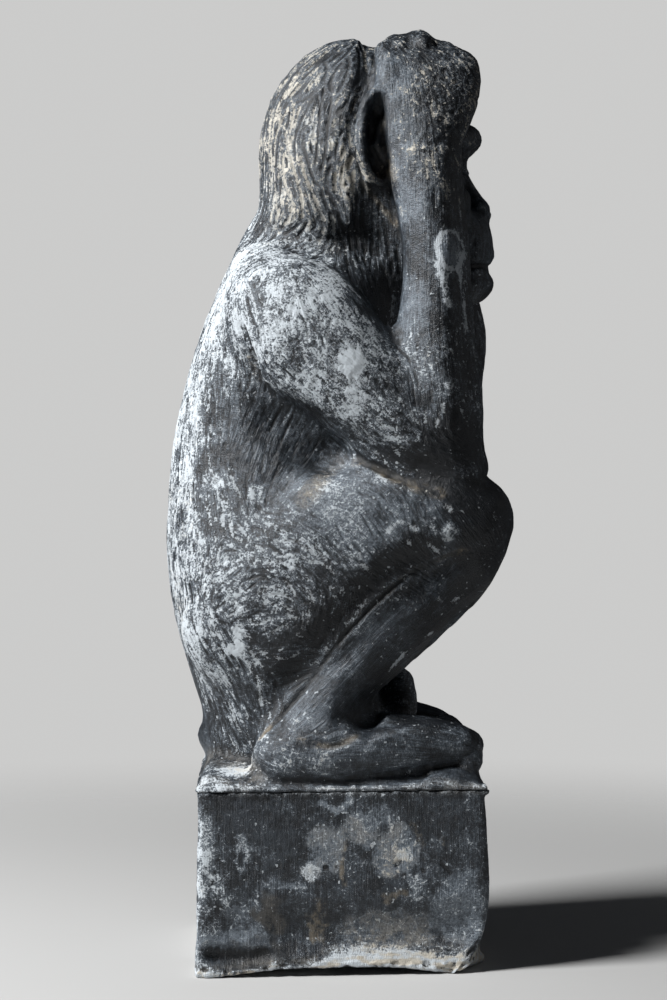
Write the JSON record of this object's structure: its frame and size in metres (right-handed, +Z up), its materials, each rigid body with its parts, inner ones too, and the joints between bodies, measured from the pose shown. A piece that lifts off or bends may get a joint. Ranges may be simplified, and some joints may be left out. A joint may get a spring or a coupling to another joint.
{
  "type": "garden statue",
  "caption": "Squatting monkey figure with its hands clasped on top of its head and its elbows on its knees, standing on a box plinth.",
  "frame": {"origin": "centre of the plinth's flat underside", "axes": "+Z up; +X the way the monkey faces; -Y its right side, the side that the picture shows"},
  "size_m": [0.2359, 0.1993, 0.6321],
  "materials": {
    "lead_figure": "cast lead with a dark blue-grey patina and chalky white oxide in the carved hair",
    "lead_plinth": "sheet-like cast lead, dark blue-grey, brushed and chalky, with worn cream edges"
  },
  "bodies": {
    "root": {"monkey": "lead_figure", "plinth": "lead_plinth"}
  },
  "joints": []
}
